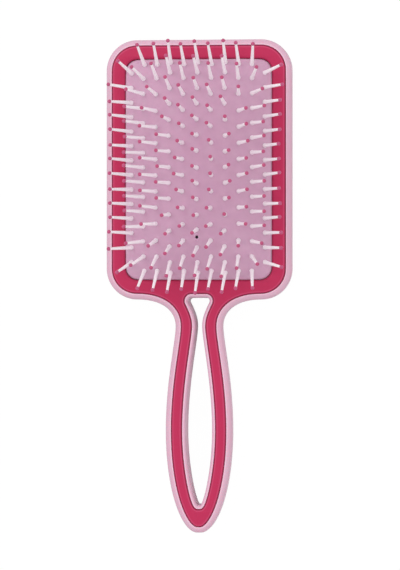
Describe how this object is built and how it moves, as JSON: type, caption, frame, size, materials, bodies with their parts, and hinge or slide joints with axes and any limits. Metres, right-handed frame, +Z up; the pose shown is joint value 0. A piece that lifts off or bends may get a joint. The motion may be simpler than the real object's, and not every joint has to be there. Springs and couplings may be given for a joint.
{
  "type": "paddle hairbrush",
  "caption": "Flat rectangular detangling paddle brush with an open loop handle, two-tone moulded body, domed rubber air cushion and splayed ball-tipped pins.",
  "frame": {"origin": "middle of the bounding box's footprint, on the surface that the brush lies on, back down", "axes": "+Z up along the pins, +Y from the handle towards the head, +X across the head"},
  "size_m": [0.0906, 0.24, 0.0423],
  "materials": {
    "shell": "glossy moulded",
    "trim": "satin gloss moulded",
    "cushion": "soft translucent rubber",
    "pins": "smooth nylon",
    "tips": "glossy dipped ball"
  },
  "bodies": {
    "handle_body": {"shell": "shell", "trim": "trim"},
    "cushion_pad": {"cushion": "cushion"},
    "column_01": {"pins_01": "pins", "tips_01": "tips"},
    "column_02": {"pins_02": "pins", "tips_02": "tips"},
    "column_03": {"pins_03": "pins", "tips_03": "tips"},
    "column_04": {"pins_04": "pins", "tips_04": "tips"},
    "column_05": {"pins_05": "pins", "tips_05": "tips"},
    "column_06": {"pins_06": "pins", "tips_06": "tips"},
    "column_07": {"pins_07": "pins", "tips_07": "tips"},
    "column_08": {"pins_08": "pins", "tips_08": "tips"},
    "column_09": {"pins_09": "pins", "tips_09": "tips"},
    "column_10": {"pins_10": "pins", "tips_10": "tips"},
    "column_11": {"pins_11": "pins", "tips_11": "tips"}
  },
  "joints": [
    {"name": "cushion_press", "type": "slide", "parent": "handle_body", "child": "cushion_pad", "axis": [0, 0, -1], "range_m": [0, 0.004], "stiffness_N_per_m": 2000, "deforming": ["cushion"]},
    {"name": "column_01_sway", "type": "hinge", "parent": "cushion_pad", "child": "column_01", "pos_m": [-0.0321, 0.05675, 0.0137], "axis": [0, 1, 0], "range_deg": [-10, 10], "stiffness_Nm_per_rad": 0.02},
    {"name": "column_02_sway", "type": "hinge", "parent": "cushion_pad", "child": "column_02", "pos_m": [-0.0261, 0.05675, 0.0159], "axis": [0, 1, 0], "range_deg": [-10, 10], "stiffness_Nm_per_rad": 0.02},
    {"name": "column_03_sway", "type": "hinge", "parent": "cushion_pad", "child": "column_03", "pos_m": [-0.0198, 0.05675, 0.0177], "axis": [0, 1, 0], "range_deg": [-10, 10], "stiffness_Nm_per_rad": 0.02},
    {"name": "column_04_sway", "type": "hinge", "parent": "cushion_pad", "child": "column_04", "pos_m": [-0.0133, 0.05675, 0.0186], "axis": [0, 1, 0], "range_deg": [-10, 10], "stiffness_Nm_per_rad": 0.02},
    {"name": "column_05_sway", "type": "hinge", "parent": "cushion_pad", "child": "column_05", "pos_m": [-0.0067, 0.05675, 0.0194], "axis": [0, 1, 0], "range_deg": [-10, 10], "stiffness_Nm_per_rad": 0.02},
    {"name": "column_06_sway", "type": "hinge", "parent": "cushion_pad", "child": "column_06", "pos_m": [0, 0.05675, 0.0193], "axis": [0, 1, 0], "range_deg": [-10, 10], "stiffness_Nm_per_rad": 0.02},
    {"name": "column_07_sway", "type": "hinge", "parent": "cushion_pad", "child": "column_07", "pos_m": [0.0067, 0.05675, 0.0194], "axis": [0, 1, 0], "range_deg": [-10, 10], "stiffness_Nm_per_rad": 0.02},
    {"name": "column_08_sway", "type": "hinge", "parent": "cushion_pad", "child": "column_08", "pos_m": [0.0133, 0.05675, 0.0186], "axis": [0, 1, 0], "range_deg": [-10, 10], "stiffness_Nm_per_rad": 0.02},
    {"name": "column_09_sway", "type": "hinge", "parent": "cushion_pad", "child": "column_09", "pos_m": [0.0198, 0.05675, 0.0177], "axis": [0, 1, 0], "range_deg": [-10, 10], "stiffness_Nm_per_rad": 0.02},
    {"name": "column_10_sway", "type": "hinge", "parent": "cushion_pad", "child": "column_10", "pos_m": [0.0261, 0.05675, 0.0159], "axis": [0, 1, 0], "range_deg": [-10, 10], "stiffness_Nm_per_rad": 0.02},
    {"name": "column_11_sway", "type": "hinge", "parent": "cushion_pad", "child": "column_11", "pos_m": [0.0321, 0.05675, 0.0137], "axis": [0, 1, 0], "range_deg": [-10, 10], "stiffness_Nm_per_rad": 0.02}
  ]
}
